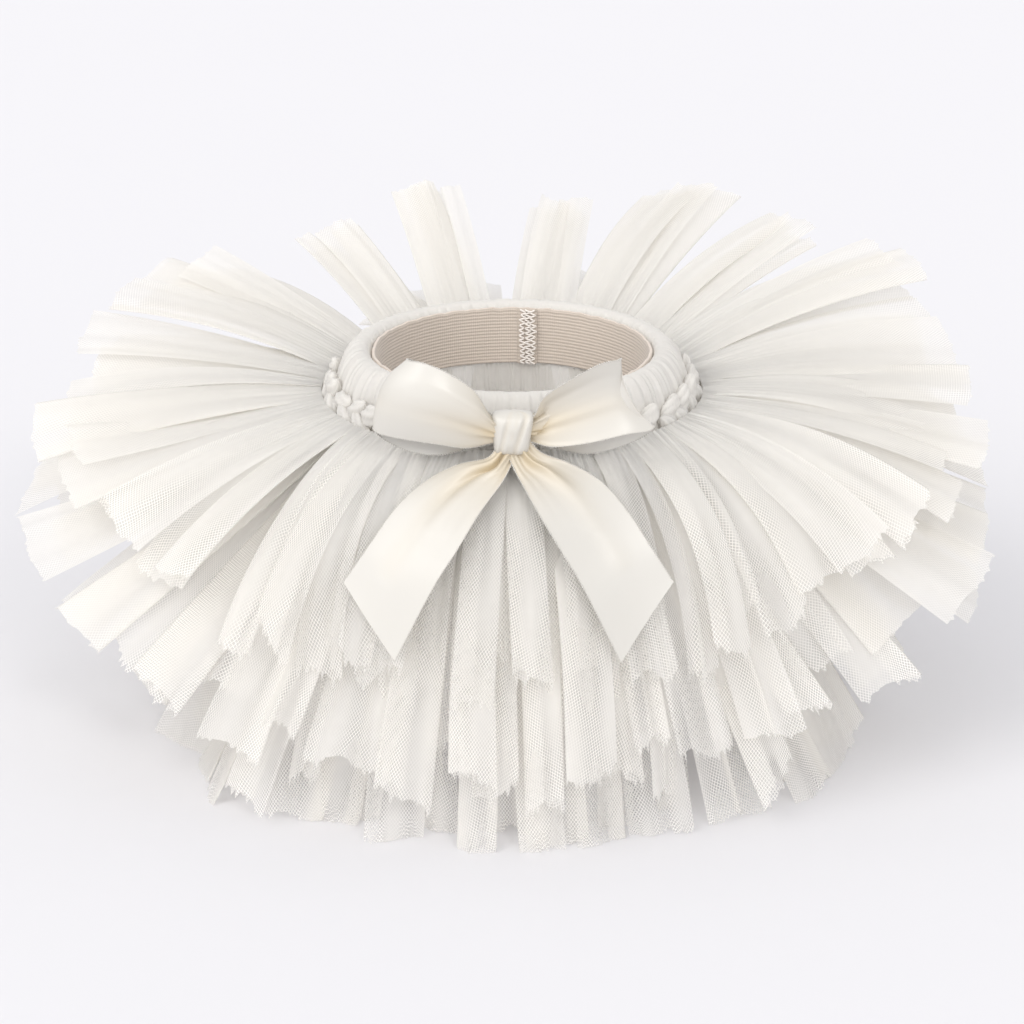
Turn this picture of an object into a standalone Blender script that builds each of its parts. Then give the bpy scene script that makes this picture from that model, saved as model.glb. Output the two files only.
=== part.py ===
"""Toddler's ballet tutu: a skirt of tulle strips knotted round a covered elastic
waistband, with a satin ribbon bow at the front.

The skirt stands by itself, filled out and open at the waist and the hem. Its front
faces -Y, +X is to the right of somebody looking at the front, and the floor is z = 0.
Every tulle strip is a pleated wall that follows one curve out from the waist. The
strips hang in three tiers, and each tier has a table with a row for each strip.
"""

import math

import bmesh
import bpy
import numpy as np

MM = 0.001

# Waistband and gathers
WAIST_RADIUS = 65.0 * MM
BAND_WALL = 1.8 * MM
BAND_TOP = 190.0 * MM
BAND_HEIGHT = 28.0 * MM
SEAM_GAP = 0.3 * MM
SEAM_AZIMUTH = 173.4
SEAM_WIDTH = 10.5 * MM
SEAM_WALL = 1.5 * MM
SEAM_STEPS = 3
RING_STEPS = 48

# Tulle covering: section of the gathered roll, as (radius, height) in millimetres
ROLL_SECTION = [
    (67.3, 151.0),
    (74.0, 149.0),
    (81.0, 154.0),
    (84.0, 166.0),
    (81.5, 182.0),
    (75.0, 191.4),
    (67.3, 191.0),
]
ROLL_GATHERS = 28
GATHER_DEPTH = 0.9 * MM

# Knots: a ring of bumps where the strips are tied on
KNOT_COUNT = 30
KNOT_RADIUS = 88.4 * MM
KNOT_HEIGHT = 171.8 * MM
KNOT_HALF_WIDTH = 3.2 * MM
KNOT_HALF_HEIGHT = 4.6 * MM
KNOT_PINCH = 0.62
KNOT_SIDES = 6

# Tulle walls
TULLE_WALL = 1.5 * MM
FOOT_LENGTH = 10.0 * MM
CURVE_REACH = 0.5
CURVE_SAMPLES = 60

# Pleats: height of each crease line across a strip, as a share of the pleat depth
PLEATS = {
    "knife": (-0.5, 0.9, -0.8, 0.7, -1.0, 0.8, -0.2),
    "soft": (0.3, -0.7, 0.5, -0.4, 0.9, -0.6, 0.4),
    "box": (0.0, -0.9, 0.6, 0.8, -0.7, -0.9, 0.5),
    "roll": (-0.8, 0.1, 0.9, 0.4, -0.6, 0.7, -0.3),
}

# Where each tier starts, how wide its strips are there, how deep their pleats are at
# the waist and at the tip, all in millimetres, and how many sections a strip has
TIER_COLUMNS = ("radius", "height", "width", "root_pleat", "tip_pleat", "sections")
TIERS = {
    "top": (92.9, 171.0, 27.0, 0.7, 2.8, 5),
    "middle": (90.0, 162.5, 30.0, 0.7, 2.8, 4),
    "lower": (86.5, 154.5, 33.0, 0.7, 2.4, 4),
}

# One row for each strip: azimuth (degrees from the front towards +X), tip radius and
# tip height (mm), lift of the curve at the waist (degrees above level), tip width (mm),
# tilt of the tip from edge to edge (degrees) and the name of its pleats. A strip whose
# tip height is 0 ends in a flat foot on the floor.
STRIP_COLUMNS = ("azimuth", "reach", "tip_height", "lift", "width", "tilt", "pleats")
STRIPS = {
    "top": [
        (0, 149, 82, -30, 44, 2, "knife"),
        (21, 150, 80, -30, 44, -3, "soft"),
        (42, 160, 88, -20, 46, 4, "box"),
        (62, 189, 122, -4, 52, 5, "roll"),
        (82, 220, 150, 6, 62, -4, "knife"),
        (101, 220, 168, 16, 62, 5, "soft"),
        (119, 226, 205, 32, 58, -6, "roll"),
        (136.5, 214, 208, 36, 34, 8, "soft"),
        (154, 222, 219, 42, 52, -5, "knife"),
        (171.5, 182, 212, 44, 36, 6, "box"),
        (-165, 186, 224, 46, 32, -7, "soft"),
        (-147, 174, 206, 38, 34, 5, "roll"),
        (-124, 205, 198, 30, 58, -5, "knife"),
        (-105, 210, 186, 22, 60, 5, "soft"),
        (-84, 221, 153, 6, 62, -5, "box"),
        (-63, 196, 124, -4, 54, 4, "knife"),
        (-42, 164, 92, -18, 46, -4, "roll"),
        (-21, 149, 79, -30, 44, 3, "soft"),
    ],
    "middle": [
        (11, 157, 42, -46, 54, 2, "soft"),
        (32, 160, 40, -53, 50, -3, "knife"),
        (54, 178, 54, -47, 58, 4, "roll"),
        (74, 226, 98, -23, 70, -4, "box"),
        (97, 224, 122, -2, 76, 4, "knife"),
        (120, 222, 148, 10, 72, -4, "soft"),
        (144, 212, 122, 0, 72, 4, "roll"),
        (168, 206, 156, 16, 68, -4, "knife"),
        (-11, 156, 36, -46, 54, -2, "box"),
        (-32, 160, 41, -53, 50, 3, "soft"),
        (-54, 186, 56, -44, 60, -4, "knife"),
        (-74, 226, 98, -23, 70, 4, "roll"),
        (-97, 224, 124, -2, 76, -4, "soft"),
        (-120, 220, 144, 8, 72, 4, "box"),
        (-144, 212, 118, 0, 72, -4, "knife"),
        (-168, 208, 152, 14, 68, 4, "soft"),
    ],
    "lower": [
        (0, 147, 0, -58, 52, 0, "soft"),
        (25, 144, 0, -58, 52, 0, "knife"),
        (49, 172, 17, -58, 60, 3, "box"),
        (73, 160, 0, -56, 62, 0, "roll"),
        (97, 196, 50, -36, 72, -3, "soft"),
        (121, 165, 0, -54, 66, 0, "knife"),
        (147, 192, 56, -36, 72, 3, "box"),
        (180, 160, 0, -54, 64, 0, "soft"),
        (-147, 192, 58, -36, 72, -3, "soft"),
        (-121, 164, 0, -54, 66, 0, "roll"),
        (-97, 196, 46, -38, 72, 3, "box"),
        (-73, 158, 0, -56, 62, 0, "soft"),
        (-49, 171, 15, -59, 60, -3, "knife"),
        (-25, 145, 0, -58, 52, 0, "roll"),
    ],
}

# Ribbon bow, in millimetres from the waist's axis. Each loop is a band of ribbon that
# runs out from the knot, folds over and comes back behind itself.
RIBBON_WALL = 1.2 * MM
RIBBON_CROWN = 0.8 * MM
LOOP_COLUMNS = ("top_x", "top_z", "bottom_x", "bottom_z", "forward")
LOOPS = {
    "left": [
        (-10.2, 192.6, -10.2, 179.2, 100.5),
        (-16.8, 204.4, -20.5, 176.2, 105.0),
        (-27.8, 213.0, -33.9, 177.4, 107.0),
        (-37.9, 217.3, -48.6, 179.4, 106.0),
        (-45.0, 217.4, -59.5, 183.4, 102.0),
        (-46.6, 217.0, -62.1, 184.6, 98.0),
        (-44.0, 215.5, -58.0, 181.6, 94.8),
        (-35.5, 211.5, -46.0, 175.8, 93.8),
        (-25.0, 205.5, -31.0, 175.0, 93.8),
        (-10.2, 191.0, -10.2, 178.2, 94.8),
    ],
    "right": [
        (10.2, 192.2, 10.2, 179.6, 100.5),
        (14.6, 201.6, 18.7, 176.8, 104.0),
        (28.2, 211.6, 33.8, 178.3, 107.0),
        (39.2, 217.3, 51.1, 182.7, 106.0),
        (46.8, 217.6, 61.0, 184.6, 102.0),
        (48.4, 217.2, 63.6, 185.4, 98.0),
        (45.6, 215.0, 59.5, 182.0, 94.8),
        (36.0, 210.0, 46.5, 176.6, 93.8),
        (25.0, 203.5, 31.0, 175.2, 93.8),
        (10.2, 191.0, 10.2, 178.4, 94.8),
    ],
}

# Tails: each station's outer and inner edge, from the knot down to the slanted cut. A
# tail lies on the front of the top tier, this far out from it.
TAIL_CLEARANCE = 7.5 * MM
TAIL_COLUMNS = ("outer_x", "outer_z", "inner_x", "inner_z")
TAILS = {
    "left": [
        (-11.5, 171.6, -3.0, 166.0),
        (-25.0, 168.6, -6.3, 162.2),
        (-38.7, 162.6, -14.7, 153.2),
        (-51.6, 152.6, -24.9, 138.9),
        (-64.0, 137.0, -35.0, 124.3),
        (-75.3, 121.3, -52.0, 92.1),
    ],
    "right": [
        (13.5, 171.6, 2.0, 167.0),
        (26.0, 169.6, 5.4, 162.6),
        (40.0, 162.6, 11.5, 154.0),
        (51.5, 151.4, 19.9, 142.2),
        (61.2, 138.0, 31.8, 124.2),
        (72.0, 121.9, 48.3, 91.8),
    ],
}

# Knot of the bow: a rounded cushion, by its half sizes and the share of them that each
# of its rows keeps
BOW_KNOT_HALF = (9.4 * MM, 7.4 * MM, 10.2 * MM)
BOW_KNOT_CENTRE = (0.0, -99.8 * MM, 183.2 * MM)
BOW_KNOT_SIDES = 12
BOW_KNOT_ROWS = {-1.0: 0.74, -0.7: 0.98, 0.0: 0.9, 0.7: 0.98, 1.0: 0.74}
BOW_KNOT_SQUARE = 0.62

# Finishes: base colour and roughness
FINISHES = {
    "elastic": ((0.62, 0.53, 0.47, 1.0), 0.9),
    "tulle": ((0.90, 0.88, 0.85, 1.0), 0.8),
    "satin": ((0.93, 0.89, 0.79, 1.0), 0.35),
}


def clear_scene():
    """Removes whatever the open file holds."""
    for thing in list(bpy.data.objects):
        bpy.data.objects.remove(thing, do_unlink=True)


def finish(name, kind):
    """A material of the part's own with the finish of its kind."""
    colour, roughness = FINISHES[kind]
    material = bpy.data.materials.new(name)
    material.use_nodes = True
    shader = material.node_tree.nodes["Principled BSDF"]
    shader.inputs["Base Color"].default_value = colour
    shader.inputs["Roughness"].default_value = roughness
    shader.inputs["Metallic"].default_value = 0.0
    material.diffuse_color = colour
    return material


def add_body(name, kind, corners, faces, smooth_angle=40.0):
    """One closed, outward-facing body from its corners and faces."""
    mesh = bpy.data.meshes.new(name)
    mesh.from_pydata([tuple(corner) for corner in corners], [], faces)
    shape = bmesh.new()
    shape.from_mesh(mesh)
    bmesh.ops.triangulate(shape, faces=shape.faces[:])
    bmesh.ops.recalc_face_normals(shape, faces=shape.faces[:])
    shape.to_mesh(mesh)
    shape.free()
    mesh.materials.append(finish(name, kind))
    mesh.shade_smooth()
    mesh.set_sharp_from_angle(angle=math.radians(smooth_angle))
    body = bpy.data.objects.new(name, mesh)
    bpy.context.scene.collection.objects.link(body)
    return body


def add_wall(name, kind, outer, inner):
    """A closed wall between two grids of points, rows by columns."""
    rows, columns = len(outer), len(outer[0])
    corners = [point for grid in (outer, inner) for row in grid for point in row]

    def corner(side, row, column):
        return (side * rows + row) * columns + column

    faces = []
    for row in range(rows - 1):
        for column in range(columns - 1):
            for side in (0, 1):
                quad = [
                    corner(side, row, column),
                    corner(side, row + 1, column),
                    corner(side, row + 1, column + 1),
                    corner(side, row, column + 1),
                ]
                faces.append(quad if side == 0 else quad[::-1])
    for row in range(rows - 1):
        for column in (0, columns - 1):
            faces.append(
                [
                    corner(0, row, column),
                    corner(0, row + 1, column),
                    corner(1, row + 1, column),
                    corner(1, row, column),
                ]
            )
    for column in range(columns - 1):
        for row in (0, rows - 1):
            faces.append(
                [
                    corner(0, row, column),
                    corner(0, row, column + 1),
                    corner(1, row, column + 1),
                    corner(1, row, column),
                ]
            )
    return add_body(name, kind, corners, faces)


def around(radius, azimuth, height):
    """The point at this radius, azimuth in radians from the front, and height."""
    return (radius * math.sin(azimuth), -radius * math.cos(azimuth), height)


def add_ring(name, kind, section, steps, swell=None):
    """A closed ring: the section's (radius, height) points carried round the waist.
    swell(step, radius, height) moves a point of the section at one step."""
    corners = []
    for step in range(steps):
        azimuth = math.tau * step / steps
        for radius, height in section:
            if swell:
                radius, height = swell(step, radius, height)
            corners.append(around(radius, azimuth, height))
    count = len(section)
    faces = []
    for step in range(steps):
        following = (step + 1) % steps
        for side in range(count):
            beside = (side + 1) % count
            faces.append(
                [
                    step * count + side,
                    following * count + side,
                    following * count + beside,
                    step * count + beside,
                ]
            )
    return add_body(name, kind, corners, faces)


def build_waistband():
    """The plain elastic ring."""
    inner, outer = WAIST_RADIUS, WAIST_RADIUS + BAND_WALL
    low, high = BAND_TOP - BAND_HEIGHT, BAND_TOP
    section = [(inner, low), (outer, low), (outer, high), (inner, high)]
    return [add_ring("elastic_waistband", "elastic", section, RING_STEPS)]


def build_band_seam():
    """The lapped end of the elastic, inside the band at the back."""
    outer = WAIST_RADIUS * math.cos(math.pi / RING_STEPS) - SEAM_GAP
    inner = outer - SEAM_WALL
    half_angle = SEAM_WIDTH / outer / 2
    sides = {outer: [], inner: []}
    for radius, grid in sides.items():
        for height in (BAND_TOP - BAND_HEIGHT, BAND_TOP):
            grid.append(
                [
                    around(radius, math.radians(SEAM_AZIMUTH) + share * half_angle, height)
                    for share in np.linspace(-1, 1, SEAM_STEPS)
                ]
            )
    return [add_wall("elastic_lapped_seam", "elastic", sides[outer], sides[inner])]


def build_gathered_roll():
    """The tulle gathered over the outside and the top of the band."""
    section = [(radius * MM, height * MM) for radius, height in ROLL_SECTION]
    inside = section[0][0]

    def gather(step, radius, height):
        ridge = GATHER_DEPTH if step % 2 and radius > inside else 0.0
        return radius - ridge, height

    return [add_ring("tulle_gathered_roll", "tulle", section, ROLL_GATHERS * 2, gather)]


def build_knots():
    """The ring of knots below the roll."""
    section = []
    for side in range(KNOT_SIDES):
        turn = math.tau * side / KNOT_SIDES
        section.append(
            (
                KNOT_RADIUS + KNOT_HALF_WIDTH * math.cos(turn),
                KNOT_HEIGHT + KNOT_HALF_HEIGHT * math.sin(turn),
            )
        )

    def bump(step, radius, height):
        share = KNOT_PINCH if step % 2 else 1.0
        return (
            KNOT_RADIUS + (radius - KNOT_RADIUS) * share,
            KNOT_HEIGHT + (height - KNOT_HEIGHT) * share,
        )

    return [add_ring("tulle_knots", "tulle", section, KNOT_COUNT * 2, bump)]


def strip_curve(tier, strip):
    """The strip's middle line: a function of t from 0 at the waist to 1 at the tip that
    gives radius, height and the unit direction along it."""
    start = np.array([tier["radius"], tier["height"]]) * MM
    tip_height = max(strip["tip_height"] * MM, TULLE_WALL / 2)
    end = np.array([strip["reach"] * MM, tip_height])
    lift = math.radians(strip["lift"])
    reach = CURVE_REACH * np.linalg.norm(end - start)
    bend = start + reach * np.array([math.cos(lift), math.sin(lift)])

    def at(t):
        point = (1 - t) ** 2 * start + 2 * t * (1 - t) * bend + t * t * end
        along = (1 - t) * (bend - start) + t * (end - bend)
        return point, along / np.linalg.norm(along)

    return at


def strip_section(tier, strip, t, centre, normal):
    """Outer and inner points across the strip at t, with its pleats and its tilt."""
    width = (tier["width"] + (strip["width"] - tier["width"]) * t) * MM
    pleat = (tier["root_pleat"] + (tier["tip_pleat"] - tier["root_pleat"]) * t) * MM
    tilt = math.radians(strip["tilt"]) * t
    standing_flat = strip["tip_height"] == 0 and t == 1
    creases = PLEATS[strip["pleats"]]
    sides = ([], [])
    for share, crease in zip(np.linspace(-0.5, 0.5, len(creases)), creases):
        across = share * width
        raised = 0.0 if standing_flat else crease * pleat + across * math.sin(tilt)
        azimuth = math.radians(strip["azimuth"]) + across * math.cos(tilt) / centre[0]
        for side, offset in zip(sides, (TULLE_WALL / 2, -TULLE_WALL / 2)):
            radius, height = centre + normal * (raised + offset)
            side.append(around(radius, azimuth, height))
    return sides


def build_strip(name, tier, strip):
    """One pleated strip of tulle, with a flat foot where it reaches the floor."""
    curve = strip_curve(tier, strip)
    outer, inner = [], []
    level = np.array([0.0, 1.0])
    for t in np.linspace(0, 1, tier["sections"] + 1):
        centre, along = curve(t)
        stands = strip["tip_height"] == 0 and t == 1
        normal = level if stands else np.array([-along[1], along[0]])
        sides = strip_section(tier, strip, t, centre, normal)
        outer.append(sides[0])
        inner.append(sides[1])
    if strip["tip_height"] == 0:
        toe = curve(1)[0] + np.array([FOOT_LENGTH, 0.0])
        sides = strip_section(tier, strip, 1, toe, level)
        outer.append(sides[0])
        inner.append(sides[1])
    return add_wall(name, "tulle", outer, inner)


def build_skirt():
    """The three tiers of strips."""
    made = []
    for tier_name, rows in STRIPS.items():
        tier = dict(zip(TIER_COLUMNS, TIERS[tier_name]))
        for number, row in enumerate(rows, start=1):
            strip = dict(zip(STRIP_COLUMNS, row))
            made.append(build_strip(f"tulle_{tier_name}_{number:02d}", tier, strip))
    return made


def front_radius(height):
    """Radius of the front of the top tier at a height."""
    tier = dict(zip(TIER_COLUMNS, TIERS["top"]))
    curve = strip_curve(tier, dict(zip(STRIP_COLUMNS, STRIPS["top"][0])))
    radii, heights = zip(*(curve(t)[0] for t in np.linspace(0, 1, CURVE_SAMPLES)))
    return float(np.interp(-height, [-value for value in heights], radii))


def ribbon_wall(name, stations):
    """A ribbon wall through stations of three points across its width."""
    middle = [np.array(station) for station in stations]
    outer, inner = [], []
    for number, station in enumerate(middle):
        before = middle[max(number - 1, 0)]
        after = middle[min(number + 1, len(middle) - 1)]
        along = after.mean(axis=0) - before.mean(axis=0)
        across = station[2] - station[0]
        normal = np.cross(along, across)
        normal /= np.linalg.norm(normal)
        outer.append([point + normal * RIBBON_WALL / 2 for point in station])
        inner.append([point - normal * RIBBON_WALL / 2 for point in station])
    return add_wall(name, "satin", outer, inner)


def build_loop(side, rows):
    """One loop of the bow: front layer, fold and back layer."""
    table = [dict(zip(LOOP_COLUMNS, row)) for row in rows]
    forwards = [station["forward"] for station in table]
    between_layers = (max(forwards) + min(forwards)) / 2
    stations = []
    for station in table:
        top = np.array([station["top_x"], -station["forward"], station["top_z"]]) * MM
        bottom = np.array([station["bottom_x"], -station["forward"], station["bottom_z"]]) * MM
        crown = -RIBBON_CROWN if station["forward"] > between_layers else RIBBON_CROWN
        stations.append([top, (top + bottom) / 2 + np.array([0.0, crown, 0.0]), bottom])
    return ribbon_wall(f"bow_loop_{side}", stations)


def build_tail(side, rows):
    """One tail of the bow, laid on the front of the top tier."""
    stations = []
    for row in rows:
        station = dict(zip(TAIL_COLUMNS, row))
        outer = np.array([station["outer_x"], station["outer_z"]]) * MM
        inner = np.array([station["inner_x"], station["inner_z"]]) * MM
        across = []
        for x, height in (outer, (outer + inner) / 2, inner):
            radius = front_radius(height) + TAIL_CLEARANCE
            across.append(np.array([x, -math.sqrt(radius**2 - x**2), height]))
        stations.append(across)
    return ribbon_wall(f"bow_tail_{side}", stations)


def build_bow_knot():
    """The knot in the middle of the bow."""
    corners = []
    for level, share in BOW_KNOT_ROWS.items():
        for side in range(BOW_KNOT_SIDES):
            turn = math.tau * side / BOW_KNOT_SIDES
            flat = [
                math.copysign(abs(value) ** BOW_KNOT_SQUARE, value)
                for value in (math.cos(turn), math.sin(turn))
            ]
            corners.append(
                (
                    BOW_KNOT_CENTRE[0] + BOW_KNOT_HALF[0] * share * flat[0],
                    BOW_KNOT_CENTRE[1] + BOW_KNOT_HALF[1] * share * flat[1],
                    BOW_KNOT_CENTRE[2] + BOW_KNOT_HALF[2] * level,
                )
            )
    faces = []
    for row in range(len(BOW_KNOT_ROWS) - 1):
        for side in range(BOW_KNOT_SIDES):
            beside = (side + 1) % BOW_KNOT_SIDES
            low, high = row * BOW_KNOT_SIDES, (row + 1) * BOW_KNOT_SIDES
            faces.append([low + side, low + beside, high + beside, high + side])
    top = (len(BOW_KNOT_ROWS) - 1) * BOW_KNOT_SIDES
    faces.append(list(range(BOW_KNOT_SIDES))[::-1])
    faces.append([top + side for side in range(BOW_KNOT_SIDES)])
    return add_body("bow_knot", "satin", corners, faces)


def build_bow():
    """Loops, tails and knot of the ribbon bow."""
    made = [build_loop(side, rows) for side, rows in LOOPS.items()]
    made += [build_tail(side, rows) for side, rows in TAILS.items()]
    made.append(build_bow_knot())
    return made


def centre_on_floor(bodies):
    """Moves the whole garment so that the middle of its footprint is at the origin."""
    corners = np.array([corner.co for body in bodies for corner in body.data.vertices])
    low, high = corners.min(axis=0), corners.max(axis=0)
    garment = bpy.data.objects.new("garment", None)
    bpy.context.scene.collection.objects.link(garment)
    garment.location = (-(low[0] + high[0]) / 2, -(low[1] + high[1]) / 2, 0.0)
    for body in bodies:
        body.parent = garment


def main():
    clear_scene()
    bodies = build_waistband() + build_band_seam() + build_gathered_roll()
    bodies += build_knots() + build_skirt() + build_bow()
    centre_on_floor(bodies)


main()
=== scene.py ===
"""Toddler's ballet tutu: tulle strips knotted round a covered elastic waistband, with a
satin ribbon bow at the front.

Laid out as an add-on: the settings groups hold the sizes and colours a maker would
change, and each group of like pieces has an operator. Run as a script, it builds the
whole tutu round its packed construction model.
"""

import math

import bpy
import numpy as np
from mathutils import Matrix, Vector


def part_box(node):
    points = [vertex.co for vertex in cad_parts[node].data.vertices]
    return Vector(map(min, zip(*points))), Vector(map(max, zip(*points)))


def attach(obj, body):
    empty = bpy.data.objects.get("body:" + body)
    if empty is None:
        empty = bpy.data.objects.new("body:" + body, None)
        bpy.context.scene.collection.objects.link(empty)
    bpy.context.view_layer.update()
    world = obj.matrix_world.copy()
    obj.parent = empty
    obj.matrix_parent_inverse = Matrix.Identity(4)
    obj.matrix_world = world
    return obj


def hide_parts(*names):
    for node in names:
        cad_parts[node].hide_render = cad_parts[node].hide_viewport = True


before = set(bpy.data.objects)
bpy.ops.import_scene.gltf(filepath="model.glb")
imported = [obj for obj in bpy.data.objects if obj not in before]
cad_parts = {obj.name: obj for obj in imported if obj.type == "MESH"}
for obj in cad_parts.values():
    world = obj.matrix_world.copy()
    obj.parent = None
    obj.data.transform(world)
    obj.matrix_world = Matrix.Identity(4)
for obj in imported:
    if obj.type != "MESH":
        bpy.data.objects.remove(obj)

bl_info = {
    "name": "Ballet Tutu",
    "version": (1, 0, 0),
    "blender": (4, 5, 0),
    "location": "3D View > Sidebar > Tutu",
    "description": "Builds a tulle tutu with a ribbon bow round its construction model",
    "category": "Object",
}

MM = 0.001
BODY = "root"

# What settings of a colour and of a share have in common
COLOUR = {"subtype": "COLOR", "size": 4, "min": 0.0, "max": 1.0}
SHARE = {"subtype": "FACTOR", "min": 0.0, "max": 1.0}

# The waist's axis and the elastic's height, from the construction model
BAND_LOW_CORNER, BAND_HIGH_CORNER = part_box("elastic_waistband")
AXIS = (BAND_LOW_CORNER + BAND_HIGH_CORNER) / 2
WAIST_OUTER = (BAND_HIGH_CORNER.x - BAND_LOW_CORNER.x) / 2
BAND_BOTTOM, BAND_TOP = BAND_LOW_CORNER.z, BAND_HIGH_CORNER.z

# Where the tails of a tier leave the waist and how wide they are there (mm), and how
# far a tail's fold opens at the waist and at the tip (mm)
TIER_COLUMNS = ("radius", "height", "root_width", "root_depth", "tip_depth")
TIERS = {
    "top": (91.0, 171.5, 17.0, 1.6, 3.8),
    "middle": (88.0, 163.0, 18.0, 1.6, 3.8),
    "lower": (84.5, 155.0, 19.0, 1.6, 3.6),
}

# One row for each strip, in the order of the tier's nodes: azimuth (degrees from the
# front towards +X), tip radius and tip height (mm), lift of the curve at the waist
# (degrees above level), tip width (mm) and tilt of the tip (degrees)
STRIP_COLUMNS = ("azimuth", "reach", "tip_height", "lift", "width", "tilt")
STRIPS = {
    "top": [
        (0, 149, 82, -30, 44, 2),
        (21, 150, 80, -30, 44, -3),
        (42, 160, 88, -20, 46, 4),
        (62, 189, 122, -4, 52, 5),
        (82, 220, 150, 6, 62, -4),
        (101, 220, 168, 16, 62, 5),
        (119, 226, 205, 32, 58, -6),
        (136.5, 214, 208, 36, 34, 8),
        (154, 222, 219, 42, 52, -5),
        (171.5, 182, 212, 44, 36, 6),
        (-165, 186, 224, 46, 32, -7),
        (-147, 174, 206, 38, 34, 5),
        (-124, 205, 198, 30, 58, -5),
        (-105, 210, 186, 22, 60, 5),
        (-84, 221, 153, 6, 62, -5),
        (-63, 196, 124, -4, 54, 4),
        (-42, 164, 92, -18, 46, -4),
        (-21, 149, 79, -30, 44, 3),
    ],
    "middle": [
        (11, 157, 42, -46, 54, 2),
        (32, 160, 40, -53, 50, -3),
        (54, 178, 54, -47, 58, 4),
        (74, 226, 98, -23, 70, -4),
        (97, 224, 122, -2, 76, 4),
        (120, 222, 148, 10, 72, -4),
        (144, 212, 122, 0, 72, 4),
        (168, 206, 156, 16, 68, -4),
        (-11, 156, 36, -46, 54, -2),
        (-32, 160, 41, -53, 50, 3),
        (-54, 186, 56, -44, 60, -4),
        (-74, 226, 98, -23, 70, 4),
        (-97, 224, 124, -2, 76, -4),
        (-120, 220, 144, 8, 72, 4),
        (-144, 212, 118, 0, 72, -4),
        (-168, 208, 152, 14, 68, 4),
    ],
    "lower": [
        (0, 147, 0, -58, 52, 0),
        (25, 144, 0, -58, 52, 0),
        (49, 172, 17, -58, 60, 3),
        (73, 160, 0, -56, 62, 0),
        (97, 196, 50, -36, 72, -3),
        (121, 165, 0, -54, 66, 0),
        (147, 192, 56, -36, 72, 3),
        (180, 160, 0, -54, 64, 0),
        (-147, 192, 58, -36, 72, -3),
        (-121, 164, 0, -54, 66, 0),
        (-97, 196, 46, -38, 72, 3),
        (-73, 158, 0, -56, 62, 0),
        (-49, 171, 15, -59, 60, -3),
        (-25, 145, 0, -58, 52, 0),
    ],
}

# A strip's tails: where each lies across the strip and how wide it is (shares of the
# strip's width), how much further it reaches and higher it ends than the strip (mm),
# how far under the strip's face it lies (mm), and how it is folded
TAIL_COLUMNS = ("across", "width", "further", "higher", "under", "fold")
TAIL_SETS = [
    [
        (-0.42, 0.44, -5, 2, 2.6, "left"),
        (-0.16, 0.58, 4, 4, 0.0, "flat"),
        (0.12, 0.46, -2, -6, 3.2, "right"),
        (0.38, 0.42, 3, 3, 1.2, "rolled"),
    ],
    [
        (-0.37, 0.50, 3, -4, 0.8, "rolled"),
        (-0.10, 0.42, -7, 5, 3.4, "flat"),
        (0.15, 0.48, 5, 1, 1.8, "left"),
        (0.42, 0.52, -3, -3, 0.2, "right"),
    ],
    [
        (-0.44, 0.46, 1, 4, 1.6, "right"),
        (-0.14, 0.40, -4, -7, 3.6, "wavy"),
        (0.10, 0.60, 3, 2, 0.0, "flat"),
        (0.40, 0.44, -6, -1, 2.4, "left"),
    ],
    [
        (-0.39, 0.54, -2, -2, 0.4, "wavy"),
        (-0.12, 0.44, 5, 3, 2.2, "rolled"),
        (0.16, 0.40, -5, 6, 3.8, "flat"),
        (0.40, 0.50, 2, -4, 1.0, "right"),
    ],
]

# Section across a tail, from one cut edge of the cloth to the other, as flat panels
# between creases: place across in half widths, and height in fold depths
FOLDS = {
    "flat": [(-1.0, -0.1), (-0.45, 0.4), (0.3, 0.05), (1.0, 0.35)],
    "right": [(-1.0, 0.0), (-0.5, 0.4), (0.96, 0.15), (1.0, -0.1), (0.3, -0.55)],
    "left": [(0.25, -0.6), (-0.96, -0.35), (-1.0, -0.1), (-0.3, 0.45), (0.4, 0.1), (1.0, 0.3)],
    "rolled": [
        (0.05, -0.65),
        (-0.94, -0.45),
        (-1.0, -0.15),
        (-0.25, 0.5),
        (0.5, 0.2),
        (1.0, -0.05),
        (0.95, -0.35),
        (0.4, -0.8),
    ],
    "wavy": [(-1.0, 0.25), (-0.2, 0.5), (0.08, 0.25), (-0.12, -0.1), (0.1, -0.35), (1.0, -0.1)],
}

# Strips change gradually round the skirt. Those further round from the front than the
# start, over the span (degrees), are fuller, hazier (with the painted shade that comes
# with haze) and cut straighter. Those that leave the waist more steeply than the start,
# over the span (degrees), are narrower
SIDE_START, SIDE_SPAN, SIDE_HAZE = 35.0, 40.0, 0.86
RISE_START, RISE_SPAN = 28.0, 8.0

# How wide the four tails lie at the waist (mm), how high they stay over the floor, and
# how far the net's weave turns from a tail's length
ROOT_SPREAD = 26.0
FLOOR_GAP = 0.5 * MM
NET_SLANT = math.radians(18.0)

# Slope of the net's threads, the tint of the light that passes a thread, and the warmer
# painted shade that each further layer of gathered net adds
NET_SLOPE = 0.72
GLOW_TINT = (1.01, 1.0, 0.975)
LAYER_SHADE_TINT = (1.0, 0.985, 0.96)

# Elastic: thickness of the ring and of its lapped end, and the pitch of its knitting.
# Rows of zigzag stitches: place across and swing in half widths of the lap, and how many
ELASTIC_THICK, LAP_THICK, KNIT_PITCH = 1.9 * MM, 1.1 * MM, 1.1 * MM
STITCH_ROWS = [(-0.6, 0.24, 20), (-0.1, 0.26, 23), (0.42, 0.24, 21)]
STITCH_RADIUS = 0.46 * MM
STITCH_COLOUR = (0.85, 0.80, 0.75, 1.0)

# Knots: slant of the lower and upper loops (degrees), and their length, height and
# thickness with how uneven each is (mm)
KNOT_SLANTS = (-30, 34)
KNOT_SIZES = [(8.6, 0.7), (4.6, 0.4), (3.4, 0.3)]

# Radius at which the cover's net is spread evenly
COVER_CLOTH_RADIUS = 160.0 * MM

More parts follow.
